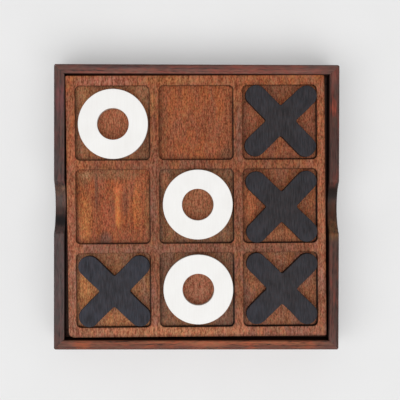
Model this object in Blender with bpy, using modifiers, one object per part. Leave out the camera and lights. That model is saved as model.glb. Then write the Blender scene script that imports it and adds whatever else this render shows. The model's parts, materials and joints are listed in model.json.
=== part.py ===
"""Tic tac toe set: a shallow wooden box with a lift-out board of nine pockets and loose X and O pieces.

Units are metres and +Z is up. The origin lies on the table, under the middle of the box. +X points to
the right of a player sitting at the front, and +Y points away from that player.

The box is four mitred walls round a grooved-in bottom panel. Ledges inside the walls carry the board,
which is a panel with a grid of nine windows glued on top. The space under the board stores the pieces
that aren't in play.
"""

import math

import bmesh
import bpy

MM = 0.001
GAP = 0.3 * MM  # left between two pieces that touch
OVERCUT = 2 * MM  # how far a cutter reaches past the material

# Box
BOX_SIDE = 240 * MM
BOX_HEIGHT = 38 * MM
WALL_THICKNESS = 8 * MM
CORNER_RADIUS = 1.6 * MM
OUTER_EASING = 1.2 * MM
RIM_EASING = 0.7 * MM
NOTCH_WIDTH = 44 * MM
NOTCH_DEPTH = 11.4 * MM
NOTCH_SIDES = 96

# Bottom panel, let into a groove that runs round the walls
PANEL_THICKNESS = 4 * MM
PANEL_BASE = 4 * MM
GROOVE_DEPTH = 4 * MM

# Ledges
LEDGE_THICKNESS = 6 * MM
LEDGE_EASING = 0.6 * MM

# Board: a panel with the grid on it
BOARD_SIDE = 219.6 * MM
BOARD_THICKNESS = 12 * MM
BOARD_RECESS = 3 * MM  # from the rim down to the board's top
BOARD_CORNER = 3 * MM
BOARD_EASING = 0.6 * MM
BOARD_CORNER_STEPS = 4
BOARD_SHIFT = (-0.1 * MM, 0.9 * MM)  # where the loose board happens to lie in the box
BOARD_TURN = math.radians(0.5)
POCKET_SIDE = 62.6 * MM
POCKET_DEPTH = 3.2 * MM
POCKET_CORNER = 4 * MM

# Pieces
PIECE_THICKNESS = 8 * MM
PIECE_EASING = 0.8 * MM
O_DIAMETER = 58.6 * MM
O_HOLE_DIAMETER = 26.5 * MM
O_SIDES = 48
X_SPAN = 59.8 * MM
X_BAR_WIDTH = 17.6 * MM
X_CROTCH_RADIUS = 1.6 * MM
X_END_STEPS = 10
X_CROTCH_STEPS = 3

# Heights that follow from the sizes above
INNER_SIDE = BOX_SIDE - 2 * WALL_THICKNESS
PANEL_TOP = PANEL_BASE + PANEL_THICKNESS
BOARD_TOP = BOX_HEIGHT - BOARD_RECESS
BOARD_BASE = BOARD_TOP - BOARD_THICKNESS
POCKET_FLOOR = BOARD_TOP - POCKET_DEPTH
POCKET_PITCH = POCKET_SIDE + (BOARD_SIDE - 3 * POCKET_SIDE) / 4
STORED_HEIGHT = PANEL_TOP + GAP + PIECE_THICKNESS / 2

# Walls and ledges by side, with their turn about Z from the front
SIDES = {"front": 0, "right": 90, "back": 180, "left": 270}

# Pieces in play: name, pocket column and row, shift in the pocket in mm, turn in degrees
X_IN_PLAY = [
    ("x_back_right", 1, 1, (0.5, 0.7), -1.0),
    ("x_middle_right", 1, 0, (0.8, -0.75), 0.6),
    ("x_front_right", 1, -1, (0.75, 0.75), -0.6),
    ("x_front_left", -1, -1, (1.0, -0.4), 0.2),
]
O_IN_PLAY = [
    ("o_back_left", -1, 1, (0.8, -1.1), 0),
    ("o_centre", 0, 0, (0.9, 1.4), 0),
    ("o_front_middle", 0, -1, (0.9, 0.6), 0),
]
# Pieces stored under the board: name, place on the panel in mm, turn in degrees
X_STORED = [("x_spare", (4, 62), 24)]
O_STORED = [("o_spare_left", (-68, 58), 0), ("o_spare_right", (70, 48), 0)]


def clear_scene():
    for obj in list(bpy.data.objects):
        bpy.data.objects.remove(obj, do_unlink=True)


def new_collection(name):
    collection = bpy.data.collections.new(name)
    bpy.context.scene.collection.children.link(collection)
    return collection


def finish(name, colour, roughness):
    """A material with one colour and one roughness."""
    material = bpy.data.materials.new(name)
    material.use_nodes = True
    shader = material.node_tree.nodes["Principled BSDF"]
    shader.inputs["Base Color"].default_value = (*colour, 1)
    shader.inputs["Roughness"].default_value = roughness
    shader.inputs["Metallic"].default_value = 0
    return material


def add_object(name, mesh, collection, material=None):
    obj = bpy.data.objects.new(name, mesh)
    collection.objects.link(obj)
    if material:
        mesh.materials.append(material)
    return obj


def mesh_of(name, shape):
    """The mesh of a bmesh, which is freed."""
    mesh = bpy.data.meshes.new(name)
    shape.to_mesh(mesh)
    shape.free()
    return mesh


def add_cutter(name, shape):
    cutter = add_object(name, mesh_of(name, shape), CUTTERS)
    cutter.hide_render = True
    cutter.display_type = "WIRE"
    return cutter


def boolean(obj, cutter, operation="DIFFERENCE"):
    modifier = obj.modifiers.new(cutter.name, "BOOLEAN")
    modifier.operation = operation
    modifier.solver = "EXACT"
    modifier.object = cutter


def ease(obj, width):
    """Takes the sharp arrises off, and leaves the facets of a rounded corner alone."""
    bevel = obj.modifiers.new("easing", "BEVEL")
    bevel.width = width
    bevel.segments = 1
    bevel.limit_method = "ANGLE"
    bevel.angle_limit = math.radians(60)


def shade_round(mesh):
    mesh.shade_smooth()
    mesh.set_sharp_from_angle(angle=math.radians(30))


def add_block(shape, low, high):
    """Adds a box between two corners to a bmesh, and gives back its points."""
    points = bmesh.ops.create_cube(shape, size=1)["verts"]
    for point in points:
        for axis in range(3):
            point.co[axis] = high[axis] if point.co[axis] > 0 else low[axis]
    return points


def round_upright_edges(shape, points, radius, steps):
    edges = {edge for point in points for edge in point.link_edges}
    upright = [edge for edge in edges if abs(edge.verts[0].co.z - edge.verts[1].co.z) > radius]
    bmesh.ops.bevel(
        shape, geom=upright, offset=radius, segments=steps, profile=0.5, affect="EDGES"
    )


def box_envelope():
    """The outside of the box as one solid, its corners and edges eased."""
    shape = bmesh.new()
    half = BOX_SIDE / 2
    points = add_block(shape, (-half, -half, 0), (half, half, BOX_HEIGHT))
    round_upright_edges(shape, points, CORNER_RADIUS, steps=4)
    flat_edges = [e for e in shape.edges if abs(e.verts[0].co.z - e.verts[1].co.z) < GAP]
    bmesh.ops.bevel(
        shape, geom=flat_edges, offset=OUTER_EASING, segments=2, profile=0.5, affect="EDGES"
    )
    return add_cutter("box_envelope", shape)


def groove_cutter():
    """A square slab whose rim cuts the groove for the bottom panel in all four walls."""
    shape = bmesh.new()
    half = INNER_SIDE / 2 + GROOVE_DEPTH
    add_block(shape, (-half, -half, PANEL_BASE - GAP), (half, half, PANEL_TOP + GAP))
    return add_cutter("panel_groove", shape)


def rim_cutter():
    """A square funnel that takes the arris off the inner edge of the rim."""
    shape = bmesh.new()
    points = bmesh.ops.create_cube(shape, size=2)["verts"]
    for point in points:
        if point.co.z < 0:
            half = INNER_SIDE / 2 - GAP
            height = BOX_HEIGHT - RIM_EASING - GAP
        else:
            half = INNER_SIDE / 2 + RIM_EASING + OVERCUT
            height = BOX_HEIGHT + OVERCUT
        point.co = (math.copysign(half, point.co.x), math.copysign(half, point.co.y), height)
    return add_cutter("rim_funnel", shape)


def notch_cutter():
    """A cylinder along X whose lowest part cuts the finger notches in the left and right walls."""
    half_width = NOTCH_WIDTH / 2
    radius = (half_width**2 + NOTCH_DEPTH**2) / (2 * NOTCH_DEPTH)
    shape = bmesh.new()
    rod = bmesh.ops.create_cone(
        shape,
        cap_ends=True,
        segments=NOTCH_SIDES,
        radius1=radius,
        radius2=radius,
        depth=BOX_SIDE + 2 * OVERCUT,
    )
    for point in rod["verts"]:
        x, y, z = point.co
        point.co = (z, y, BOX_HEIGHT - NOTCH_DEPTH + radius - x)
    return add_cutter("finger_notches", shape)


def wall(side, turn, material, cutters):
    """One wall, its ends cut at 45 degrees. It is made at the front and turned to its side of the box."""
    mitre_shortening = GAP / 2 * math.sqrt(2)
    shape = bmesh.new()
    bmesh.ops.create_cube(shape, size=1)
    for point in shape.verts:
        distance = BOX_SIDE / 2 + OVERCUT if point.co.y < 0 else INNER_SIDE / 2
        height = BOX_HEIGHT + OVERCUT if point.co.z > 0 else -OVERCUT
        point.co = (math.copysign(distance - mitre_shortening, point.co.x), -distance, height)
    obj = add_object("wall_" + side, mesh_of("wall_" + side, shape), PARTS, material)
    obj.rotation_euler.z = math.radians(turn)
    boolean(obj, cutters["envelope"], "INTERSECT")
    boolean(obj, cutters["groove"])
    boolean(obj, cutters["rim"])
    if side in ("left", "right"):
        boolean(obj, cutters["notches"])
    return obj


def bottom_panel(material):
    shape = bmesh.new()
    half = INNER_SIDE / 2 + GROOVE_DEPTH - GAP
    add_block(shape, (-half, -half, -PANEL_THICKNESS / 2), (half, half, PANEL_THICKNESS / 2))
    obj = add_object("bottom_panel", mesh_of("bottom_panel", shape), PARTS, material)
    obj.location.z = PANEL_BASE + PANEL_THICKNESS / 2
    return obj


def ledge(side, turn, material):
    """A strip glued inside a wall. The side ones fit between the front one and the back one."""
    face = INNER_SIDE / 2 - GAP
    half_length = face
    if side in ("left", "right"):
        half_length = face - LEDGE_THICKNESS - GAP
    shape = bmesh.new()
    low = (-half_length, -face, PANEL_TOP + GAP)
    high = (half_length, -face + LEDGE_THICKNESS, BOARD_BASE - GAP)
    add_block(shape, low, high)
    obj = add_object("ledge_" + side, mesh_of("ledge_" + side, shape), PARTS, material)
    obj.rotation_euler.z = math.radians(turn)
    ease(obj, LEDGE_EASING)
    return obj


def o_mesh(material):
    """A flat ring turned from its section, which runs down its outer side and back up its inner side."""
    outer = O_DIAMETER / 2
    inner = O_HOLE_DIAMETER / 2
    top = PIECE_THICKNESS / 2
    cut = PIECE_EASING
    section = [
        (outer - cut, top),
        (outer, top - cut),
        (outer, -top + cut),
        (outer - cut, -top),
        (inner + cut, -top),
        (inner, -top + cut),
        (inner, top - cut),
        (inner + cut, top),
    ]
    mesh = bpy.data.meshes.new("o_piece")
    edges = [(i, (i + 1) % len(section)) for i in range(len(section))]
    mesh.from_pydata([(x, 0, z) for x, z in section], edges, [])
    mesh.materials.append(material)
    return mesh


def o_piece(name, mesh):
    obj = add_object(name, mesh, PARTS)
    screw = obj.modifiers.new("turn", "SCREW")
    screw.steps = O_SIDES
    screw.render_steps = O_SIDES
    screw.use_merge_vertices = True
    screw.merge_threshold = 0.00001
    return obj


def arc(centre, radius, start, end, steps):
    """Points along a circle, both ends included. Angles are in radians."""
    points = []
    for step in range(steps + 1):
        angle = start + (end - start) * step / steps
        x = centre[0] + radius * math.cos(angle)
        y = centre[1] + radius * math.sin(angle)
        points.append((x, y))
    return points


def x_outline():
    """Two crossed bars with round ends and small radii where they meet, anticlockwise."""
    half = X_BAR_WIDTH / 2
    reach = (X_SPAN / 2 - half) * math.sqrt(2)
    crotch = (half + X_CROTCH_RADIUS) * math.sqrt(2)
    quarter = math.pi / 2
    points = []
    for arm in range(4):
        along = math.pi / 4 + arm * quarter
        between = along + math.pi / 4
        end = (reach * math.cos(along), reach * math.sin(along))
        corner = (crotch * math.cos(between), crotch * math.sin(between))
        points += arc(end, half, along - quarter, along + quarter, X_END_STEPS)
        points += arc(
            corner, X_CROTCH_RADIUS, along + 3 * quarter, along + math.pi, X_CROTCH_STEPS
        )
    return points


def rounded_square(centre, side, radius, steps):
    """The outline of a square with round corners, anticlockwise."""
    inner = side / 2 - radius
    quarter = math.pi / 2
    points = []
    for corner, (x, y) in enumerate([(inner, inner), (-inner, inner), (-inner, -inner), (inner, -inner)]):
        middle = (centre[0] + x, centre[1] + y)
        points += arc(middle, radius, corner * quarter, (corner + 1) * quarter, steps)
    return points


def flat_solid(name, outlines, thickness, easing, material, eased=("top", "bottom")):
    """Outlines filled and extruded both ways from their middle. An outline inside another is a hole.

    The arrises of the faces named in eased are taken off.
    """
    curve = bpy.data.curves.new(name, "CURVE")
    curve.dimensions = "2D"
    curve.fill_mode = "BOTH"
    curve.extrude = thickness / 2
    for outline in outlines:
        spline = curve.splines.new("POLY")
        spline.points.add(len(outline) - 1)
        for point, (x, y) in zip(spline.points, outline):
            point.co = (x, y, 0, 1)
        spline.use_cyclic_u = True

    guide = add_object(name + "_guide", curve, CUTTERS)
    graph = bpy.context.evaluated_depsgraph_get()
    mesh = bpy.data.meshes.new_from_object(guide.evaluated_get(graph))
    bpy.data.objects.remove(guide)

    shape = bmesh.new()
    shape.from_mesh(mesh)
    bmesh.ops.remove_doubles(shape, verts=shape.verts, dist=0.00001)
    bmesh.ops.recalc_face_normals(shape, faces=shape.faces)
    arrises = [edge for edge in shape.edges if arris_side(edge) in eased]
    bmesh.ops.bevel(
        shape, geom=arrises, offset=easing, segments=1, profile=0.5, affect="EDGES"
    )
    shape.to_mesh(mesh)
    shape.free()
    mesh.name = name
    mesh.materials.append(material)
    shade_round(mesh)
    return mesh


def arris_side(edge):
    """Which flat face of a solid centred on z = 0 the edge bounds, or None if it bounds neither."""
    level = [abs(face.normal.z) > 0.5 for face in edge.link_faces]
    if len(level) != 2 or level[0] == level[1]:
        return None
    return "top" if edge.verts[0].co.z > 0 else "bottom"


def board_frame():
    """The empty that carries the board and the pieces on it. Its origin is on the pocket floors."""
    frame = bpy.data.objects.new("board_frame", None)
    PARTS.objects.link(frame)
    frame.location = (*BOARD_SHIFT, POCKET_FLOOR)
    frame.rotation_euler.z = BOARD_TURN
    return frame


def board_panel(frame, material):
    thickness = POCKET_FLOOR - BOARD_BASE
    outline = rounded_square((0, 0), BOARD_SIDE, BOARD_CORNER, BOARD_CORNER_STEPS)
    mesh = flat_solid(
        "board_panel", [outline], thickness, BOARD_EASING, material, eased=("bottom",)
    )
    panel = add_object("board_panel", mesh, PARTS)
    panel.parent = frame
    panel.location.z = -thickness / 2


def board_grid(frame, material):
    """The rails round and between the pockets, in one piece."""
    thickness = POCKET_DEPTH - GAP
    outlines = [rounded_square((0, 0), BOARD_SIDE, BOARD_CORNER, BOARD_CORNER_STEPS)]
    for column in (-1, 0, 1):
        for row in (-1, 0, 1):
            centre = (column * POCKET_PITCH, row * POCKET_PITCH)
            window = rounded_square(centre, POCKET_SIDE, POCKET_CORNER, BOARD_CORNER_STEPS)
            outlines.append(window)
    mesh = flat_solid(
        "board_grid", outlines, thickness, BOARD_EASING, material, eased=("top",)
    )
    grid = add_object("board_grid", mesh, PARTS)
    grid.parent = frame
    grid.location.z = GAP + thickness / 2


def set_in_pocket(piece, frame, column, row, shift, turn):
    """Lays a piece in a pocket of the board, which then carries it."""
    piece.parent = frame
    piece.location = (
        column * POCKET_PITCH + shift[0] * MM,
        row * POCKET_PITCH + shift[1] * MM,
        GAP + PIECE_THICKNESS / 2,
    )
    piece.rotation_euler.z = math.radians(turn)


def store_under_board(piece, place, turn):
    piece.location = (place[0] * MM, place[1] * MM, STORED_HEIGHT)
    piece.rotation_euler.z = math.radians(turn)


def main():
    dark_wood = finish("stained_walnut", (0.075, 0.032, 0.022), 0.42)
    board_wood = finish("oiled_walnut", (0.215, 0.082, 0.042), 0.45)
    panel_wood = finish("panel_wood", (0.17, 0.085, 0.048), 0.55)
    black_paint = finish("black_paint", (0.036, 0.036, 0.04), 0.6)
    white_paint = finish("white_paint", (0.86, 0.85, 0.84), 0.45)

    cutters = {
        "envelope": box_envelope(),
        "groove": groove_cutter(),
        "rim": rim_cutter(),
        "notches": notch_cutter(),
    }
    bottom_panel(panel_wood)
    for side, turn in SIDES.items():
        wall(side, turn, dark_wood, cutters)
        ledge(side, turn, dark_wood)
    frame = board_frame()
    board_panel(frame, board_wood)
    board_grid(frame, board_wood)

    x_shape = flat_solid("x_piece", [x_outline()], PIECE_THICKNESS, PIECE_EASING, black_paint)
    for name, column, row, shift, turn in X_IN_PLAY:
        set_in_pocket(add_object(name, x_shape, PARTS), frame, column, row, shift, turn)
    for name, place, turn in X_STORED:
        store_under_board(add_object(name, x_shape, PARTS), place, turn)

    o_shape = o_mesh(white_paint)
    for name, column, row, shift, turn in O_IN_PLAY:
        set_in_pocket(o_piece(name, o_shape), frame, column, row, shift, turn)
    for name, place, turn in O_STORED:
        store_under_board(o_piece(name, o_shape), place, turn)


clear_scene()
PARTS = new_collection("tic_tac_toe_set")
CUTTERS = new_collection("cutters")
CUTTERS.hide_render = True
main()
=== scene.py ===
"""Tic tac toe set: the finished look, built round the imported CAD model.

Every piece is rebuilt with rounded edges in the place of its CAD node, and rides on that
node's body. Its points are in the frame of the whole set, so each material can use object
coordinates as places on the board or in the box. Meshes are in metres, and the places and
sizes in materials are in mm.
"""

import json
import math

import bmesh
import bpy
from mathutils import Matrix, Vector, noise
from mathutils.geometry import tessellate_polygon


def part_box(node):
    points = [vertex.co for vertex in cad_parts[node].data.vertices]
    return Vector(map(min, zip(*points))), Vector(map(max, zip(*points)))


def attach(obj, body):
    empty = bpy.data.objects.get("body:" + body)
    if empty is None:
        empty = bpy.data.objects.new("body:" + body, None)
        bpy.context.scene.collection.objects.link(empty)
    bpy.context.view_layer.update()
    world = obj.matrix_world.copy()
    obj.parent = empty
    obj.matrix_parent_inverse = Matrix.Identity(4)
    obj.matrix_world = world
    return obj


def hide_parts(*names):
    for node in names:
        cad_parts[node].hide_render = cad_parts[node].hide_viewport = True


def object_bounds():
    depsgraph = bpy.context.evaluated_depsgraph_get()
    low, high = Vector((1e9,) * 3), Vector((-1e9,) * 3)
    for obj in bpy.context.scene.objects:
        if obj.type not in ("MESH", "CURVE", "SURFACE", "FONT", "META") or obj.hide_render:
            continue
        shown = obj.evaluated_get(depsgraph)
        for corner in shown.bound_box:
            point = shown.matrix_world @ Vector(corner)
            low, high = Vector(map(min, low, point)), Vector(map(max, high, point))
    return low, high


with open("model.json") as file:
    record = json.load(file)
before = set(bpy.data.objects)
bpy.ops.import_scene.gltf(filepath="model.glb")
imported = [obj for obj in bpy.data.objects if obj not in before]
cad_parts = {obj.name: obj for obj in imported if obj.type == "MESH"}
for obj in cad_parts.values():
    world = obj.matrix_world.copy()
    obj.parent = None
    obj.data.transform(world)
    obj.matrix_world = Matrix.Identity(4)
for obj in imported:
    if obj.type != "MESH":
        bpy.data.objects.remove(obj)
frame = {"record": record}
CAD_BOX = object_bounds()
RECORD = frame["record"]
BODY_OF = {node: body for body, nodes in RECORD["behaviour"]["bodies"].items() for node in nodes}

noise.seed_set(1)  # without a seed, noise_vector differs from run to run

MM = 0.001
NOISE_SPREAD = 3.4  # brings the noise texture to about -1 to 1
LEVEL = 0.99995  # a level face's normal is at least this upright
SHARP = math.radians(35)  # a smaller angle between faces is smoothed

# Shapes that a bounding box can't give
SIDES = {"front": 0, "right": 90, "back": 180, "left": 270}  # how far each wall is turned
OUTER_EASING = 1.2 * MM
RIM_EASING = {"front": 0.9 * MM, "right": 1.1 * MM, "back": 0.7 * MM, "left": 0.4 * MM}
RIM_LIP = {"front": 0, "right": 0.6 * MM, "back": 0, "left": 0.8 * MM}  # thicker above the ledge
CORNER_RADIUS = 1.6 * MM
NOTCH_WIDTH = 44 * MM
NOTCH_DEPTH = 11.4 * MM
NOTCH_FILLET = 2.5 * MM
GROOVE_DEPTH = 4 * MM
GROOVE_SLACK = 0.3 * MM
MITRE_GAP = 0.04 * MM
LEDGE_EASING = 0.6 * MM
PANEL_EASING = 0.3 * MM
BOARD_SIDE = 219.6 * MM
BOARD_CORNERS = (1.5 * MM, 1.2 * MM, 4.6 * MM, 1.5 * MM)
BOARD_EASING = 0.5 * MM
BOARD_TURN = math.radians(0.5)
POCKET_PITCH = 70.55 * MM
POCKET_SIDE = 62.6 * MM
POCKET_CORNER = 4 * MM
X_SPAN = 59.8 * MM
X_EASING = 0.6 * MM
BAR_WIDTH = 17.6 * MM
CROTCH_RADIUS = 1.6 * MM
HOLE_DIAMETER = 26.5 * MM
O_EASING = 0.4 * MM
O_STEPS = 128
X_TURNS = {
    "x_back_right": -0.5,
    "x_middle_right": 1.1,
    "x_front_right": -0.1,
    "x_front_left": 0.7,
    "x_spare": 24,
}
O_NODES = ("o_back_left", "o_centre", "o_front_middle", "o_spare_left", "o_spare_right")


def centre(node):
    low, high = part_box(node)
    return (low + high) / 2


HALF_BOX = CAD_BOX[1].x
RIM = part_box("wall_front")[1].z
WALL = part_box("wall_front")[1].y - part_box("wall_front")[0].y
BOARD = centre("board_grid")


# ---------------------------------------------------------------- meshes


def mesh_from(shape, name):
    """A finished mesh from a bmesh, smooth except at its sharp edges."""
    bmesh.ops.remove_doubles(shape, verts=shape.verts, dist=1e-6)
    bmesh.ops.recalc_face_normals(shape, faces=shape.faces)
    mesh = bpy.data.meshes.new(name)
    shape.to_mesh(mesh)
    shape.free()
    mesh.shade_smooth()
    for face in mesh.polygons:
        # Smoothed, the thin triangles of a level face would crease it
        face.use_smooth = abs(face.normal.z) < LEVEL
    mesh.set_sharp_from_angle(angle=SHARP)
    return mesh


def place(mesh, node, material):
    """The mesh as a piece that stands for a CAD node and rides on its body."""
    piece = bpy.data.objects.new(mesh.name, mesh)
    bpy.context.scene.collection.objects.link(piece)
    mesh.materials.append(material)
    normals = piece.modifiers.new("flat faces stay flat", "WEIGHTED_NORMAL")
    normals.keep_sharp = True
    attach(piece, BODY_OF[node])
    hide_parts(node)


def arc(middle, radius, start, end, steps):
    """Points along a circle, both ends included. Angles are in radians."""
    angles = [start + (end - start) * step / steps for step in range(steps + 1)]
    return [(middle[0] + radius * math.cos(a), middle[1] + radius * math.sin(a)) for a in angles]


def rounded_square(middle, side, radii, steps):
    """The outline of a square with round corners, anticlockwise from the right back one."""
    points = []
    quarter = math.pi / 2
    for corner, (x, y) in enumerate([(1, 1), (-1, 1), (-1, -1), (1, -1)]):
        inner = side / 2 - radii[corner]
        at = (middle[0] + x * inner, middle[1] + y * inner)
        points += arc(at, radii[corner], corner * quarter, (corner + 1) * quarter, steps)
    return points


def drawn_in(outline, distance):
    """An anticlockwise outline moved inwards by a distance, or outwards by a negative one."""
    moved = []
    for i, (x, y) in enumerate(outline):
        before = Vector((x, y)) - Vector(outline[i - 1])
        after = Vector(outline[(i + 1) % len(outline)]) - Vector((x, y))
        bisector = (before.normalized() + after.normalized()).normalized()
        inwards = Vector((-bisector.y, bisector.x))
        reach = distance / max(inwards.dot(Vector((-after.y, after.x)).normalized()), 0.5)
        moved.append((x + inwards.x * reach, y + inwards.y * reach))
    return moved


def flat_solid(outlines, low, high, easing, eased=("top", "bottom"), steps=4):
    """A solid from low to high, with the arrises of the eased faces rounded.

    The first outline is the outside, the others are holes, and all run anticlockwise.
    """
    profile = []  # height and how far the outline is drawn in
    if "bottom" in eased:
        for inset, rise in arc((easing, easing), easing, -math.pi / 2, -math.pi, steps):
            profile.append((low + rise, inset))
    else:
        profile.append((low, 0.0))
    if "top" in eased:
        for inset, rise in arc((easing, -easing), easing, math.pi, math.pi / 2, steps):
            profile.append((high + rise, inset))
    else:
        profile.append((high, 0.0))

    shape = bmesh.new()
    bottom, top = [], []
    for number, outline in enumerate(outlines):
        rings = []
        for height, inset in profile:
            ring = drawn_in(outline, inset if number == 0 else -inset)
            rings.append([shape.verts.new((x, y, height)) for x, y in ring])
        for a, b in zip(rings, rings[1:]):
            for i in range(len(a)):
                j = (i + 1) % len(a)
                shape.faces.new((a[i], a[j], b[j], b[i]))
        bottom.append(rings[0])
        top.append(rings[-1])
    for level in (bottom, top):
        points = [vertex for ring in level for vertex in ring]
        for triangle in tessellate_polygon([[vertex.co for vertex in ring] for ring in level]):
            shape.faces.new([points[i] for i in triangle])
    return shape


def turned(points, middle, angle):
    """Points turned about the origin, then moved to a middle."""
    c, s = math.cos(angle), math.sin(angle)
    return [(middle[0] + c * x - s * y, middle[1] + s * x + c * y) for x, y in points]


# ---------------------------------------------------------------- box


def notch_line():
    """The top line of a notched wall, as places along it and how far each drops below the rim."""
    half = NOTCH_WIDTH / 2
    radius = (half**2 + NOTCH_DEPTH**2) / (2 * NOTCH_DEPTH)
    height = radius - NOTCH_DEPTH  # of the notch circle's middle above the rim
    reach = radius + NOTCH_FILLET
    shoulder = math.sqrt(reach**2 - (height + NOTCH_FILLET) ** 2)
    meeting = math.asin(shoulder / reach)
    bowl = arc((0, height), radius, -math.pi / 2, -math.pi / 2 + meeting, 22)
    lip = arc((shoulder, -NOTCH_FILLET), NOTCH_FILLET, math.pi / 2 + meeting, math.pi / 2, 7)
    side = bowl + lip[1:]
    return [(-x, -z) for x, z in reversed(side)] + [(x, -z) for x, z in side[1:]]


def wall_section(side):
    """A wall's section, anticlockwise: how far in from the outer face, and how high."""
    panel_low, panel_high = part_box("bottom_panel")
    groove_top = panel_high.z + GROOVE_SLACK
    groove_base = panel_low.z - GROOVE_SLACK
    ledge_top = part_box("ledge_front")[1].z
    o, r, lip = OUTER_EASING, RIM_EASING[side], RIM_LIP[side]
    quarter = math.pi / 2
    section = arc((o, o), o, -quarter, -2 * quarter, 4)
    section += arc((o, RIM - o), o, 2 * quarter, quarter, 5)
    section += arc((WALL + lip - r, RIM - r), r, quarter, 0, 4)
    section += [(WALL + lip, ledge_top + 1 * MM), (WALL, ledge_top + 0.4 * MM)]
    section += [(WALL, groove_top), (WALL - GROOVE_DEPTH, groove_top)]
    section += [(WALL - GROOVE_DEPTH, groove_base), (WALL, groove_base)]
    section += arc((WALL - r, r), r, 0, -quarter, 3)
    return section


def wall_mesh(side):
    """One wall: its section swept from mitre to mitre, round half a box corner at each end."""
    section = wall_section(side)
    steady = 40 * MM  # the sections this near the middle stand square to the wall
    straight = HALF_BOX - CORNER_RADIUS
    bends = [math.radians(a) for a in (11.25, 22.5, 33.75, 45)]
    notched = side in ("left", "right")
    middle = notch_line() if notched else [(-15 * MM, 0.0), (15 * MM, 0.0)]

    # Each station is a place along the wall, a drop below the rim, and a turn round the corner
    one_end = [(x, 0.0, 0.0) for x in (steady, 70 * MM, 100 * MM, straight)]
    one_end += [(straight, 0.0, a) for a in bends]
    stations = [(-x, 0.0, -a) for x, _, a in reversed(one_end)]
    stations += [(x, drop, 0.0) for x, drop in middle]
    stations += one_end

    shape = bmesh.new()
    rings = []
    for along, drop, bend in stations:
        ring = []
        for inset, height in section:
            z = height - drop if height > RIM / 2 else height
            radius = CORNER_RADIUS - inset
            end = HALF_BOX - inset - MITRE_GAP
            reach = straight if radius > 0 else end - CORNER_RADIUS / 2
            x = abs(along)
            if x > steady:
                x = steady + (x - steady) * (reach - steady) / (straight - steady)
            out = HALF_BOX - inset
            if bend and radius > 0:
                x = straight + radius * math.sin(abs(bend)) - MITRE_GAP
                out = straight + radius * math.cos(bend)
            elif bend:
                x = reach + (end - reach) * abs(bend) / bends[-1]
            ring.append(shape.verts.new((math.copysign(x, along), -out, z)))
        rings.append(ring)
    count = len(section)
    for a, b in zip(rings, rings[1:]):
        for i in range(count):
            j = (i + 1) % count
            shape.faces.new((a[i], a[j], b[j], b[i]))
    shape.faces.new(rings[0])
    shape.faces.new(list(reversed(rings[-1])))
    turn = Matrix.Rotation(math.radians(SIDES[side]), 3, "Z")
    bmesh.ops.rotate(shape, verts=shape.verts, matrix=turn)
    return mesh_from(shape, f"wall_{side}_stained")


def block_mesh(name, node, easing):
    """A board or strip as large as its CAD node, all its edges rounded."""
    low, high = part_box(node)
    shape = bmesh.new()
    for point in bmesh.ops.create_cube(shape, size=1)["verts"]:
        for axis in range(3):
            point.co[axis] = high[axis] if point.co[axis] > 0 else low[axis]
    edges = list(shape.edges)
    bmesh.ops.bevel(shape, geom=edges, offset=easing, segments=3, profile=0.5, affect="EDGES")
    return mesh_from(shape, name)


# ---------------------------------------------------------------- board and pieces


def board_outline():
    """The board's edge: nearly a square, its sides sanded a little out of true."""
    sanded = []
    for x, y in rounded_square((0, 0), BOARD_SIDE, BOARD_CORNERS, 8):
        off_right = 0.8 * MM + 0.003 * y
        off_left = max(0.35 * MM - 0.0085 * y, 0)
        over_back = 0.45 * MM - 0.0018 * x
        over_front = 0.45 * MM
        x += -off_right if x > 0 else off_left
        y += over_back if y > 0 else -over_front
        sanded.append((x, y))
    return turned(sanded, BOARD, BOARD_TURN)


def panel_mesh():
    low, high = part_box("board_panel")
    shape = flat_solid([board_outline()], low.z, high.z, BOARD_EASING, eased=("bottom",))
    return mesh_from(shape, "board_panel_oiled")


def grid_mesh():
    outlines = [board_outline()]
    for column in (-1, 0, 1):
        for row in (-1, 0, 1):
            middle = (column * POCKET_PITCH, row * POCKET_PITCH)
            window = rounded_square(middle, POCKET_SIDE, [POCKET_CORNER] * 4, 8)
            outlines.append(turned(window, BOARD, BOARD_TURN))
    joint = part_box("board_panel")[1].z + 0.01 * MM  # down to the panel, over the gap for glue
    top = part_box("board_grid")[1].z
    shape = flat_solid(outlines, joint, top, BOARD_EASING, eased=("top",))
    return mesh_from(shape, "board_grid_oiled")


def between_points(a, b, count):
    """Points spaced evenly between two, both left out."""
    shares = [(i + 1) / (count + 1) for i in range(count)]
    return [(a[0] + (b[0] - a[0]) * t, a[1] + (b[1] - a[1]) * t) for t in shares]


def x_outline():
    """Two crossed bars with round ends, anticlockwise, its points close enough to wander."""
    on_straight = 7
    half = BAR_WIDTH / 2
    reach = (X_SPAN / 2 - half) * math.sqrt(2)
    crotch = (half + CROTCH_RADIUS) * math.sqrt(2)
    quarter = math.pi / 2
    points = []
    for arm in range(4):
        along = math.pi / 4 + arm * quarter
        between = along + math.pi / 4
        end = (reach * math.cos(along), reach * math.sin(along))
        corner = (crotch * math.cos(between), crotch * math.sin(between))
        bow = arc(end, half, along - quarter, along + quarter, 18)
        if points:
            points += between_points(points[-1], bow[0], on_straight)
        points += bow
        inside = arc(corner, CROTCH_RADIUS, along + 3 * quarter, along + math.pi, 5)
        points += between_points(points[-1], inside[0], on_straight)
        points += inside
    points += between_points(points[-1], points[0], on_straight)
    return points


def hand_cut(points, seed, amount, length=14 * MM):
    """Points that wander slowly off their line, as a hand-sanded edge does."""
    wandered = []
    for x, y in points:
        shift = noise.noise_vector(Vector((x, y, seed)) / length)
        wandered.append((x + shift.x * amount, y + shift.y * amount))
    return wandered


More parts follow.
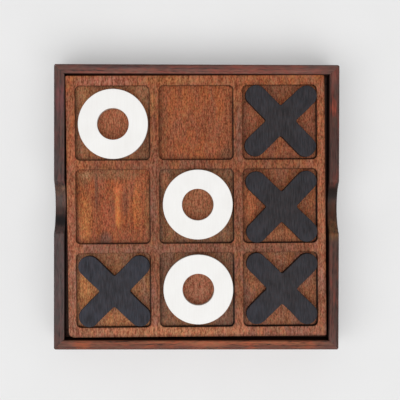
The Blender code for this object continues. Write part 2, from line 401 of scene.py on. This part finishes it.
def x_mesh(node):
    low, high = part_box(node)
    seed = list(X_TURNS).index(node) * 50 * MM  # so that no two are cut alike
    outline = hand_cut(x_outline(), seed, 0.45 * MM)
    outline = turned(outline, centre(node), math.radians(X_TURNS[node]))
    shape = flat_solid([outline], low.z, high.z, X_EASING)
    return mesh_from(shape, node + "_painted")


def o_mesh(node):
    """A flat ring with rounded arrises, turned from its section."""
    low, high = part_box(node)
    middle = centre(node)
    outer = (high.x - low.x) / 2
    inner = HOLE_DIAMETER / 2
    r = O_EASING
    quarter = math.pi / 2
    section = arc((outer - r, high.z - r), r, quarter, 0, 4)
    section += arc((outer - r, low.z + r), r, 0, -quarter, 4)
    section += arc((inner + r, low.z + r), r, -quarter, -2 * quarter, 4)
    section += arc((inner + r, high.z - r), r, 2 * quarter, quarter, 4)
    shape = bmesh.new()
    rings = []
    for step in range(O_STEPS):
        angle = 2 * math.pi * step / O_STEPS
        c, s = math.cos(angle), math.sin(angle)
        ring = [(middle.x + x * c, middle.y + x * s, z) for x, z in section]
        rings.append([shape.verts.new(point) for point in ring])
    count = len(section)
    for k in range(O_STEPS):
        a, b = rings[k], rings[(k + 1) % O_STEPS]
        for i in range(count):
            j = (i + 1) % count
            shape.faces.new((a[i], a[j], b[j], b[i]))
    return mesh_from(shape, node + "_painted")


# ---------------------------------------------------------------- materials


def linear(red, green, blue):
    """A colour given as 0 to 255 on screen, as the light it stands for."""
    share = [value / 255 for value in (red, green, blue)]
    return [s / 12.92 if s <= 0.04045 else ((s + 0.055) / 1.055) ** 2.4 for s in share]


class Number:
    """A number in a material's node tree. Arithmetic on it adds Math nodes."""

    def __init__(self, tree, socket):
        self.tree = tree
        self.socket = socket

    def maths(self, operation, *others):
        node = self.tree.nodes.new("ShaderNodeMath")
        node.operation = operation
        for socket, value in zip(node.inputs, (self, *others)):
            feed(value, socket)
        return Number(self.tree, node.outputs[0])

    def __add__(self, other):
        return self.maths("ADD", other)

    def __sub__(self, other):
        return self.maths("SUBTRACT", other)

    def __mul__(self, other):
        return self.maths("MULTIPLY", other)

    def __truediv__(self, other):
        return self.maths("DIVIDE", other)

    def rest(self):
        """What is left of 1."""
        return self * -1 + 1

    def size(self):
        return self.maths("ABSOLUTE")

    def least(self, other):
        return self.maths("MINIMUM", other)

    def most(self, other):
        return self.maths("MAXIMUM", other)

    def rise(self, start, end, low=0.0, high=1.0):
        """Goes smoothly from low to high as the number goes from start to end."""
        node = self.tree.nodes.new("ShaderNodeMapRange")
        node.interpolation_type = "SMOOTHSTEP"
        for socket, value in zip(node.inputs, (self, start, end, low, high)):
            feed(value, socket)
        return Number(self.tree, node.outputs[0])


def feed(value, socket):
    """Links a Number or a socket into a socket, or sets it to a constant."""
    if isinstance(value, Number):
        value.tree.links.new(value.socket, socket)
    elif isinstance(value, bpy.types.NodeSocket):
        value.id_data.links.new(value, socket)
    else:
        socket.default_value = value


class Material:
    """A Principled material whose nodes are added by the methods below."""

    def __init__(self, name):
        self.material = bpy.data.materials.new(name)
        self.material.use_nodes = True
        self.tree = self.material.node_tree
        self.shader = self.tree.nodes["Principled BSDF"]

    def node(self, kind, **settings):
        node = self.tree.nodes.new(kind)
        for key, value in settings.items():
            setattr(node, key, value)
        return node

    def places(self, middle=(0, 0, 0), turn=0.0):
        """Object coordinates in mm, about a middle and turned with the board."""
        coordinates = self.node("ShaderNodeTexCoord")
        mapping = self.node("ShaderNodeMapping", vector_type="TEXTURE")
        feed(coordinates.outputs["Object"], mapping.inputs["Vector"])
        mapping.inputs["Location"].default_value = middle
        mapping.inputs["Rotation"].default_value = (0, 0, turn)
        mapping.inputs["Scale"].default_value = (MM, MM, MM)
        return mapping.outputs[0]

    def split(self, vector):
        node = self.node("ShaderNodeSeparateXYZ")
        feed(vector, node.inputs[0])
        return [Number(self.tree, socket) for socket in node.outputs]

    def noise(self, places, grain_mm, detail=2.0, roughness=0.5, seed=0.0, warp=0.0):
        """Noise from about -1 to 1, whose features have these sizes along X, Y and Z."""
        mapping = self.node("ShaderNodeMapping")
        feed(places, mapping.inputs["Vector"])
        mapping.inputs["Scale"].default_value = [1 / size for size in grain_mm]
        mapping.inputs["Location"].default_value = (seed, 1.7 * seed, 2.3 * seed)
        node = self.node("ShaderNodeTexNoise")
        feed(mapping.outputs[0], node.inputs["Vector"])
        node.inputs["Scale"].default_value = 1
        node.inputs["Detail"].default_value = detail
        node.inputs["Roughness"].default_value = roughness
        node.inputs["Distortion"].default_value = warp
        return (Number(self.tree, node.outputs["Fac"]) - 0.5) * NOISE_SPREAD

    def mix(self, share, first, second):
        """A colour between two."""
        node = self.node("ShaderNodeMix", data_type="RGBA", clamp_factor=True)
        feed(share, node.inputs[0])
        for value, socket in ((first, node.inputs[6]), (second, node.inputs[7])):
            feed((*value, 1) if isinstance(value, (tuple, list)) else value, socket)
        return node.outputs[2]

    def tint(self, colour, factor):
        """A colour made lighter or darker by a factor."""
        node = self.node("ShaderNodeVectorMath", operation="SCALE")
        feed(colour, node.inputs[0])
        feed(factor, node.inputs["Scale"])
        return node.outputs[0]

    def hue(self, colour, share, first, second):
        """A colour multiplied by something between two tints."""
        node = self.node("ShaderNodeVectorMath", operation="MULTIPLY")
        feed(colour, node.inputs[0])
        feed(self.mix(share, first, second), node.inputs[1])
        return node.outputs[0]

    def marks(self, colour, x, y, marks):
        """A colour with soft elliptical marks: middle, half size, colour and strength of each."""
        for middle, size, shade, strength in marks:
            colour = self.mix(spot(x, y, middle, size) * strength, colour, linear(*shade))
        return colour

    def finish(self, colour, roughness, bump=None, bump_mm=0.05, specular=0.5):
        feed(colour, self.shader.inputs["Base Color"])
        feed(roughness, self.shader.inputs["Roughness"])
        self.shader.inputs["Specular IOR Level"].default_value = specular
        if bump:
            node = self.node("ShaderNodeBump")
            node.inputs["Distance"].default_value = bump_mm * MM
            feed(bump, node.inputs["Height"])
            feed(node.outputs[0], self.shader.inputs["Normal"])
        return self.material


def square_distance(x, y, side_mm, corner_mm):
    """How far outside a round-cornered square a place is, in mm. Inside it is negative."""
    inner = side_mm / 2 - corner_mm
    over_x = x.size() - inner
    over_y = y.size() - inner
    outside_x = over_x.most(0)
    outside_y = over_y.most(0)
    outside = (outside_x * outside_x + outside_y * outside_y).maths("SQRT")
    return outside + over_x.most(over_y).least(0) - corner_mm


def spot(x, y, middle, size):
    """1 in the middle of an ellipse, falling smoothly to 0 at its edge."""
    across = (x - middle[0]) / size[0]
    up = (y - middle[1]) / size[1]
    return (across * across + up * up).rise(1, 0)


def in_pocket(x, y):
    """Places on the board as places about the middle of the nearest pocket."""
    pitch = POCKET_PITCH / MM
    return [(v + 1.5 * pitch).maths("MODULO", pitch) - pitch / 2 for v in (x, y)]


def below_top(z, node):
    """How far a height on the board is below the top of a node, in mm."""
    return (z + (BOARD.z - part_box(node)[1].z) / MM) * -1


def grain(along_x, length_mm, width_mm, height_mm):
    """Sizes along X, Y and Z of grain that runs along X or along Y."""
    return (length_mm, width_mm, height_mm) if along_x else (width_mm, length_mm, height_mm)


def board_wood(name, floor):
    """Oiled hardwood with the grain along Y, of the pocket floors or of the rails."""
    m = Material(name)
    places = m.places(BOARD, BOARD_TURN)
    x, y, z = m.split(places)
    fibre = m.noise(places, (0.8, 5, 3), detail=2, roughness=0.65, seed=3.1 + floor)
    pores = m.noise(places, (0.65, 1.7, 2), detail=1, roughness=0.5, seed=7.7 + floor)
    band = m.noise(places, (2.2, 45, 12), detail=3, roughness=0.6, seed=1.3 + floor, warp=0.3)
    speck = m.noise(places, (1.5, 2.8, 4), detail=2, roughness=0.6, seed=14.9 + floor)
    patch = m.noise(places, (8, 24, 20), detail=2, roughness=0.55, seed=5.9 + floor, warp=0.6)
    cloud = m.noise(places, (12, 20, 25), detail=2, roughness=0.5, seed=11.3 + floor)

    if floor:
        marks = FLOOR_MARKS
        colour = linear(*FLOOR_COLOURS_AND_SHADE[0, 1])
        pitch = POCKET_PITCH / MM
        # Each pocket floor's colour; the darker floors of the ring pockets are painted shade round
        # the rings
        for (column, row), shade in FLOOR_COLOURS_AND_SHADE.items():
            off = (x - column * pitch).size().most((y - row * pitch).size())
            colour = m.mix(off.rise(pitch / 2 + 3, pitch / 2 - 3), colour, linear(*shade))
    else:
        marks = RAIL_MARKS
        # The rails between the pockets are darker than the band round them
        band_shade = square_distance(x, y, 178, 20).rise(-6, 6, 0.82, 1.04)
        at_front, at_back = [linear(*rail) for rail in RAIL_COLOURS]
        colour = m.tint(m.mix(y.rise(-100, 90), at_front, at_back), band_shade)
    colour = m.hue(colour, patch.rise(-0.8, 0.8), *PATCH_TINTS)
    colour = m.marks(colour, x, y, marks)
    tone = fibre * 0.9 + pores * 0.68 + band * 0.38 + cloud * 0.12
    inner = x.size().most(y.size()).rise(106, 104)  # 1 round the pockets, 0 at the outer edge
    sides = inner.rest()
    if floor:
        tone = tone * (spot(x, y, (-66.5, -4), (6, 32)) * -0.6 + 1)  # calmer round the pale streak
    else:
        depth = below_top(z, "board_grid")
        sides = sides * depth.rise(0.4, 1.0)
    tone = tone * (sides * -0.45 + 1)  # the board's sides are plainer than its top
    speck = speck * (sides * -0.5 + 1)
    colour = m.hue(colour, tone.rise(-0.9, 0.9), *GRAIN_TINTS)
    colour = m.hue(colour, speck.rise(-0.9, 0.9), *SPECK_TINTS)

    in_x, in_y = in_pocket(x, y)
    edge = square_distance(in_x, in_y, POCKET_SIDE / MM, POCKET_CORNER / MM)
    # Painted shade round the pockets: a dark line along each pocket's edge, darkest at its front
    # right, less so in the middle pocket
    front_right = (in_x - in_y).rise(-14, 18) * ((x - y).rise(-150, 110) * 0.35 + 0.65)
    middle_pocket = spot(x, y, (0, 0), (50, 50)) * -0.4 + 1
    front_right = front_right * y.rise(-30, -50, 1, 1.12) * middle_pocket
    if floor:
        # On the floors: the painted shade line, a soft painted shade in from every edge but the
        # back one, and a painted shade along the left edge
        line = edge.rise(-1.4, 0) * (front_right * 0.74 + x.rise(-60, 60, 0.2, 0.32)) * inner
        soft = edge.rise(-7, 0) * in_y.rise(32, 20) * inner * 0.18
        left = in_x.rise(-26, -31) * inner * 0.2
        shade = line.rest() * soft.rest() * left.rest()
    else:
        # On the rails: the painted shade line along the pocket edges, the pocket walls made
        # darker, and painted shade on the board's right and front edges beside the gap to the box
        line = edge.rise(1.0, 0) * (front_right * 0.5 + x.rise(-60, 60, 0.3, 0.38)) * inner
        wall = depth.rise(0.35, 1.6) * inner * 0.75
        past_edge = (x + 0.3).most(y * -1 - 0.45) - BOARD_SIDE / 2 / MM
        shade = line.rest() * wall.rest() * past_edge.rise(-2.4, -0.4, 1, 0.68)
    colour = m.tint(colour, shade)
    bump = fibre * 0.5 + pores * 0.5
    roughness = (tone * 0.1 + 0.55).most(0.3)
    return m.finish(colour, roughness, bump, 0.04, specular=0.25)


def stained_wood(name, side, seed):
    """Dark stained wood with the grain along the wall, darker at its edges and its ends, with
    painted shade and light inside the box.
    """
    m = Material(name)
    places = m.places()
    x, y, z = m.split(places)
    along_x = side in ("front", "back")
    along, across = (x, y) if along_x else (y, x)
    inset = (across.size() - HALF_BOX / MM) * -1
    band_mm = grain(along_x, 46, 1.6, 2.6)
    fibre_mm = grain(along_x, 6, 0.7, 0.7)
    patch_mm = grain(along_x, 17, 4, 9)
    speck_mm = grain(along_x, 4, 1.8, 3)
    band = m.noise(places, band_mm, detail=3, roughness=0.55, seed=seed)
    fibre = m.noise(places, fibre_mm, detail=2, roughness=0.6, seed=seed + 4.3)
    patch = m.noise(places, patch_mm, detail=2, roughness=0.5, seed=seed + 8.1)
    speck = m.noise(places, speck_mm, detail=2, roughness=0.6, seed=seed + 2.2)
    dark, inner, outer, red = [linear(*colour) for colour in RIM_COLOURS[side]]
    colour = m.mix(inset.rise(1.5, 6.5), outer, inner)
    colour = m.mix(patch.rise(-0.2, 0.9) * 0.75, colour, red)
    colour = m.mix(along.size().rise(92, 114) * 0.75, colour, linear(*RIM_CORNERS))
    marked = m.marks(colour, along, inset, RIM_MARKS[side])
    colour = m.mix(inset.rise(0, 0.6), colour, marked)  # they don't run down the outer face
    tone = band * 0.5 + fibre * 0.45
    colour = m.mix(tone.rise(0.05, -0.6), colour, dark)
    colour = m.tint(colour, tone.rise(-0.1, 0.6, 0.94, 1.35))
    colour = m.hue(colour, speck.rise(-0.9, 0.9), *RIM_SPECK_TINTS)
    depth = (z - RIM / MM) * -1
    shade = inset.rise(0.2, 1.3, 0.72, 1) * depth.rise(0.8, 3.5, 1, 0.8)
    # Painted shade along the inner arris, and painted light and shade on the inner face, side by
    # side
    arris_shade_mm, painted_inner_shading = RIM_INSIDE_SHADING[side]
    wall_mm = (WALL + RIM_LIP[side]) / MM
    arris = inset.rise(wall_mm - arris_shade_mm, wall_mm) * depth.rise(10, 14, 1, 0)
    inside = inset.rise(wall_mm - 0.6, wall_mm - 0.05) * depth.rise(0.3, 1.6)
    colour = m.tint(colour, shade * (arris * -0.6 + 1) * (inside * (painted_inner_shading - 1) + 1))
    roughness = tone * 0.1 + 0.5
    return m.finish(colour, roughness, band * 0.4 + fibre * 0.6, 0.05, specular=0.22)


def plain_wood(name, along_x, light, dark, seed):
    """The unseen panel and ledges: plainer wood with a straight grain."""
    m = Material(name)
    places = m.places()
    band_mm = grain(along_x, 60, 4, 4)
    fibre_mm = grain(along_x, 7, 0.8, 0.8)
    band = m.noise(places, band_mm, detail=3, roughness=0.6, seed=seed, warp=0.3)
    fibre = m.noise(places, fibre_mm, detail=2, roughness=0.6, seed=seed + 2.7)
    tone = band * 0.25 + fibre * 0.15
    colour = m.mix(tone.rise(-0.5, 0.5), linear(*dark), linear(*light))
    return m.finish(colour, tone * 0.2 + 0.6, band + fibre, 0.03, specular=0.35)


def black_paint(name, node):
    """Matt blue-black paint, thin enough that the grain shows, blacker down the sides with painted
    shade, and paler towards the front left with a painted sheen.
    """
    m = Material(name)
    places = m.places(BOARD, BOARD_TURN)
    x, y, z = m.split(places)
    fibre = m.noise(places, (0.8, 9, 3), detail=3, roughness=0.6, seed=2.9)
    cloud = m.noise(places, (7, 10, 9), detail=2, roughness=0.5, seed=6.1)
    speck = m.noise(places, (2.4, 3.4, 4), detail=2, roughness=0.6, seed=8.8)
    in_x, in_y = in_pocket(x, y)
    reach = (in_x * in_x + in_y * in_y).maths("SQRT")
    tone = fibre * 0.5 + cloud * 0.2
    darkest, palest = [linear(*shade) for shade in BLACK]
    colour = m.mix(tone.rise(-0.5, 0.5), darkest, palest)
    arms = (reach.rise(10, 28) + cloud * 0.4).most(0).least(1)
    colour = m.hue(colour, arms, *BLACK_ARM_TINTS)
    colour = m.hue(colour, speck.rise(-0.9, 0.9), *BLACK_SPECK_TINTS)
    # Painted sheen: paler and bluer towards the front left, the side of the light
    colour = m.hue(colour, (x + y).rise(60, -120), *BLACK_SHEEN_TINTS)
    # Painted shade: the paint goes blacker down the sides
    colour = m.tint(colour, below_top(z, node).rise(0.1, 1.1, 1, 0.3))
    return m.finish(colour, tone * 0.1 + 0.62, fibre, 0.04, specular=0.25)


def white_paint(name, node):
    """Satin white paint with a trace of grain, with painted shade making the sides duller towards
    the bottom.
    """
    m = Material(name)
    places = m.places(BOARD, BOARD_TURN)
    z = m.split(places)[2]
    fibre = m.noise(places, (1.1, 14, 4), detail=2, roughness=0.5, seed=4.4)
    cloud = m.noise(places, (12, 18, 9), detail=1, roughness=0.5, seed=9.2)
    tone = fibre * 0.14 + cloud * 0.14
    darkest, palest = [linear(*shade) for shade in WHITE]
    colour = m.mix(tone.rise(-0.4, 0.4), darkest, palest)
    # Painted shade down the sides of the rings
    colour = m.hue(colour, below_top(z, node).rise(0.3, 4.5), *WHITE_SIDE_SHADE_TINTS)
    return m.finish(colour, tone * 0.2 + 0.42, fibre, 0.015, specular=0.4)


# ---------------------------------------------------------------- colours and figure

# Colours on screen, from 0 to 255
BLACK = ((31, 29, 32), (59, 56, 60))  # the darkest and the palest of the paint
WHITE = ((234, 232, 229), (242, 241, 239))
STAGE = ((230, 230, 230), (232, 232, 232))
LEDGE_WOOD_SHADED = ((70, 46, 38), (44, 30, 26))  # light and dark; dark wood as painted shade in the gap between the board and the walls
PANEL_WOOD = ((132, 92, 68), (92, 60, 44))
RIM_COLOURS = {
    # darkest grain, inner part, outer part, red patches
    "front": ((54, 34, 28), (152, 88, 60), (104, 64, 52), (158, 80, 50)),
    "right": ((38, 27, 25), (86, 56, 48), (74, 53, 47), (114, 56, 45)),
    "back": ((58, 43, 41), (124, 80, 70), (90, 63, 58), (134, 72, 58)),
    "left": ((48, 40, 39), (84, 63, 58), (74, 58, 56), (98, 60, 56)),
}
RIM_CORNERS = (92, 64, 58)
RIM_INSIDE_SHADING = {
    # how wide the painted shade on the inner arris is in mm, and the factor of painted light and
    # shade on the inner face, lighter at the back and left, darker at the front and right
    "front": (1.8, 0.3),
    "right": (1.8, 0.4),
    "back": (0.8, 1.3),
    "left": (0.3, 1.6),
}
FLOOR_COLOURS_AND_SHADE = {
    # the wood of each pocket floor, by column and row from the middle one; the ring pockets'
    # floors are darker as painted shade round the rings
    (-1, 1): (132, 84, 56),
    (0, 1): (140, 78, 48),
    (1, 1): (132, 76, 50),
    (-1, 0): (142, 78, 48),
    (0, 0): (120, 80, 56),
    (1, 0): (126, 74, 48),
    (-1, -1): (140, 92, 65),
    (0, -1): (119, 79, 57),
    (1, -1): (134, 84, 60),
}
RAIL_COLOURS = ((140, 88, 66), (142, 83, 54))  # at the front and at the back

# Tints that a colour is multiplied by, from the first of each pair to the second
GRAIN_TINTS = ((0.43, 0.27, 0.12), (1.55, 1.67, 1.73))  # dark and pale lines of the board's grain
PATCH_TINTS = ((0.9, 0.96, 1.16), (1.08, 1.02, 0.82))  # greyer and more orange wood
SPECK_TINTS = ((0.88, 1.13, 1.1), (1.11, 0.86, 0.88))  # greener and redder specks
RIM_SPECK_TINTS = ((0.9, 1.1, 1.08), (1.1, 0.9, 0.92))
BLACK_SPECK_TINTS = ((0.93, 1.04, 1.06), (1.07, 0.96, 0.94))
BLACK_ARM_TINTS = ((1.0, 0.98, 0.98), (0.96, 0.99, 1.05))  # middle and ends of a cross
BLACK_SHEEN_TINTS = ((0.96, 0.94, 0.91), (1.08, 1.13, 1.2))  # crosses back right and front left; the paler, bluer front left is a painted sheen from the side of the light
WHITE_SIDE_SHADE_TINTS = ((1, 1, 1), (0.7, 0.67, 0.62))  # top and foot of a ring's side, darker towards the foot as painted shade

# Marks on the wood: middle and half size in mm, colour, strength. Most are figure that stands out
# in the wood; the painted light and shade among them is noted where it stands.
# On the board X and Y run from its middle. On a wall they are the place along it and how far
# in from its outer face.
FLOOR_MARKS = [
    ((-84.8, 15), (1.8, 22), (84, 58, 48), 0.6),
    ((-94, -10), (8, 28), (172, 108, 58), 0.55),
    ((-95, 24), (8, 9), (126, 92, 62), 0.5),
    ((-76, -8), (8, 18), (150, 74, 50), 0.45),
    ((-77, -28), (8, 9), (88, 62, 56), 0.7),
    ((-67.0, 2), (2.6, 25), (190, 111, 62), 0.85),
    ((-66.2, -10), (3.0, 11), (190, 112, 58), 0.8),
    ((-66.2, 14), (5.6, 6), (186, 102, 62), 0.75),
    ((-71.8, 2), (2.8, 14), (112, 70, 50), 0.4),
    ((-60.5, 4), (4, 16), (108, 64, 50), 0.5),
    ((-50.5, 2), (4.5, 26), (172, 100, 48), 0.5),
    ((-70, 28), (30, 7), (118, 88, 62), 0.5),
    ((-41, -4), (4, 30), (128, 92, 58), 0.45),
    ((-94, 27), (7, 4), (176, 130, 96), 0.45),
    ((27, 44), (9, 8), (96, 68, 48), 0.5),
    ((-27, 66), (5, 34), (122, 76, 48), 0.45),
    ((-10, 84), (4, 22), (164, 96, 52), 0.4),
    ((-93, -70), (12, 24), (182, 116, 62), 0.55),
    ((-68, -96), (22, 10), (172, 108, 62), 0.45),
    ((-70, -44), (24, 8), (112, 74, 56), 0.4),
    ((44, 2), (10, 22), (168, 92, 52), 0.5),
    ((70, 98), (22, 9), (118, 76, 54), 0.5),
    ((98, 68), (6, 22), (122, 70, 52), 0.4),
    # Lighter middles of the three ring pockets under the holes; round them stays the painted shade
    # of their darker floors
    ((-70, 70), (31, 34), (146, 86, 60), 0.8),
    ((0, 0), (31, 34), (144, 88, 60), 0.8),
    ((0, -70), (31, 34), (148, 92, 68), 0.85),
    ((-98, 98), (16, 16), (154, 104, 70), 0.6),
    ((-44, 96), (10, 14), (146, 100, 72), 0.5),
    ((-44, 44), (12, 16), (98, 62, 44), 0.5),
    ((70, -27), (24, 9), (146, 92, 62), 0.5),
    ((-27, 22), (6, 10), (160, 92, 58), 0.5),
]
RAIL_MARKS = [
    ((36, 62), (3.2, 30), (112, 77, 64), 0.6),
    ((-36, -4), (4, 30), (118, 80, 68), 0.4),
    ((-37, 88), (4, 16), (158, 104, 60), 0.4),
    ((-105, -20), (5, 34), (160, 96, 76), 0.4),
    ((-105, 46), (5, 22), (162, 88, 62), 0.4),
    ((-20, -105), (90, 6), (180, 116, 78), 0.5),
    ((72, -36), (34, 5), (120, 72, 50), 0.7),
    ((0, -36), (110, 5), (126, 84, 68), 0.5),
    ((106, -10), (5, 60), (160, 96, 62), 0.35),
    ((-70, 37), (28, 5), (150, 84, 58), 0.3),
    ((-20, 106), (34, 5), (162, 106, 62), 0.4),
    ((-76, 105), (34, 6), (156, 98, 82), 0.6),
]
RIM_MARKS = {
    "front": [
        ((-70, 4), (40, 8), (112, 66, 52), 0.6),
        ((-96, 4), (9, 5), (156, 78, 46), 0.6),
        ((-62, 6), (9, 3), (150, 84, 56), 0.5),
        ((10, 4), (22, 5), (164, 96, 66), 0.4),
    ],
    "right": [
        ((112, 4), (10, 6), (122, 62, 52), 0.5),
        ((84, 5), (9, 3.5), (138, 62, 46), 0.75),
        ((46, 5), (30, 9), (72, 49, 45), 0.7),
        # Patches in the notch, darkest at its back end
        ((0, 6), (17, 14), (76, 47, 34), 0.9),
        ((-19, 6), (11, 14), (112, 76, 48), 0.85),
        ((12, 5), (7.5, 14), (26, 13, 7), 0.95),
    ],
    "back": [
        ((50, 4), (50, 7), (122, 66, 54), 0.5),
        ((-70, 2), (30, 3), (80, 60, 60), 0.5),
    ],
    "left": [
        ((90, 5), (20, 5), (116, 66, 68), 0.5),
        ((36, 2), (12, 5), (78, 66, 66), 0.5),
        ((-60, 4), (60, 12), (80, 68, 68), 0.6),
        # At the notch: painted light and shade of its slopes, paler at its back end, which faces
        # the light, and near black at its front end, which is in shade
        ((6, 5), (8, 14), (96, 78, 72), 0.5),
        ((4, 8), (9, 3), (124, 90, 78), 0.5),
        ((14, 5), (6, 14), (112, 80, 64), 0.6),
        ((15.5, 8), (3, 3), (150, 118, 96), 0.5),
        ((-4, 5), (6, 14), (68, 50, 45), 0.6),
        ((-11.5, 5), (6.3, 14), (30, 30, 32), 0.92),
    ],
}


# ---------------------------------------------------------------- the set


def place_painted(nodes, mesh_of, paint):
    """Pieces of one kind. Their paint depends on height, so the spare ones have their own."""
    finishes = {}
    for node in nodes:
        name = paint.__name__ + ("_spare" if "spare" in node else "")
        if name not in finishes:
            finishes[name] = paint(name, node)
        place(mesh_of(node), node, finishes[name])


def build():
    for number, side in enumerate(SIDES):
        along_x = side in ("front", "back")
        wood = stained_wood(f"stained_{side}", side, seed=13.7 * number)
        place(wall_mesh(side), f"wall_{side}", wood)
        # The ledges are dark: painted shade where they show through the gap beside the board
        wood = plain_wood(f"ledge_wood_{side}", along_x, *LEDGE_WOOD_SHADED, seed=5.3 * number)
        mesh = block_mesh(f"ledge_{side}_stained", f"ledge_{side}", LEDGE_EASING)
        place(mesh, f"ledge_{side}", wood)
    wood = plain_wood("bottom_wood", True, *PANEL_WOOD, seed=21.0)
    place(block_mesh("bottom_panel_stained", "bottom_panel", PANEL_EASING), "bottom_panel", wood)

    place(panel_mesh(), "board_panel", board_wood("board_floor_wood", floor=True))
    place(grid_mesh(), "board_grid", board_wood("board_rail_wood", floor=False))
    place_painted(X_TURNS, x_mesh, black_paint)
    place_painted(O_NODES, o_mesh, white_paint)


# ---------------------------------------------------------------- floor, light and camera


def add_floor():
    """A pale floor, so wide that its edge doesn't show."""
    r = 60
    mesh = bpy.data.meshes.new("floor")
    mesh.from_pydata([(-r, -r, 0), (r, -r, 0), (r, r, 0), (-r, r, 0)], [], [(0, 1, 2, 3)])
    floor = bpy.data.objects.new("floor", mesh)
    bpy.context.scene.collection.objects.link(floor)
    m = Material("floor")
    cloud = m.noise(m.places(), (60, 60, 60), detail=2, roughness=0.5, seed=1.0)
    darkest, palest = [linear(*shade) for shade in STAGE]
    colour = m.mix(cloud.rise(-1, 1), darkest, palest)
    mesh.materials.append(m.finish(colour, roughness=0.9, specular=0.1))


def area_light(name, power, size, direction, distance, glossy=True):
    """A soft rectangle of light that shines from a direction onto the middle of the set."""
    light = bpy.data.lights.new(name, "AREA")
    light.shape = "RECTANGLE"
    light.size, light.size_y = size
    light.energy = power
    lamp = bpy.data.objects.new(name, light)
    bpy.context.scene.collection.objects.link(lamp)
    towards = Vector(direction).normalized()
    lamp.location = Vector((0, 0, RIM)) + towards * distance
    lamp.rotation_euler = towards.to_track_quat("Z", "Y").to_euler()
    lamp.visible_glossy = glossy


def add_lights():
    world = bpy.data.worlds.new("studio")
    world.use_nodes = True
    background = world.node_tree.nodes["Background"]
    background.inputs["Color"].default_value = (1, 1, 1, 1)
    background.inputs["Strength"].default_value = 0.28
    bpy.context.scene.world = world
    area_light(
        "overhead", power=56.8, size=(0.6, 0.6), direction=(0, 0, 1), distance=4, glossy=False
    )
    area_light(
        "front_softbox", power=1184, size=(25.2, 9.0), direction=(-0.14, -0.48, 0.9), distance=12
    )


def add_camera():
    """Nearly straight above the middle of the set."""
    data = bpy.data.cameras.new("camera")
    data.lens = 85.67
    data.sensor_width = 36
    data.shift_x = 0.03
    camera = bpy.data.objects.new("camera", data)
    bpy.context.scene.collection.objects.link(camera)
    camera.location = (-0.0189, 0.0144, 0.838)
    camera.rotation_euler = [math.radians(a) for a in (-0.596, -0.821, 0.114)]
    bpy.context.scene.camera = camera


build()
add_floor()
add_lights()
add_camera()
bpy.context.scene.view_settings.view_transform = "Standard"
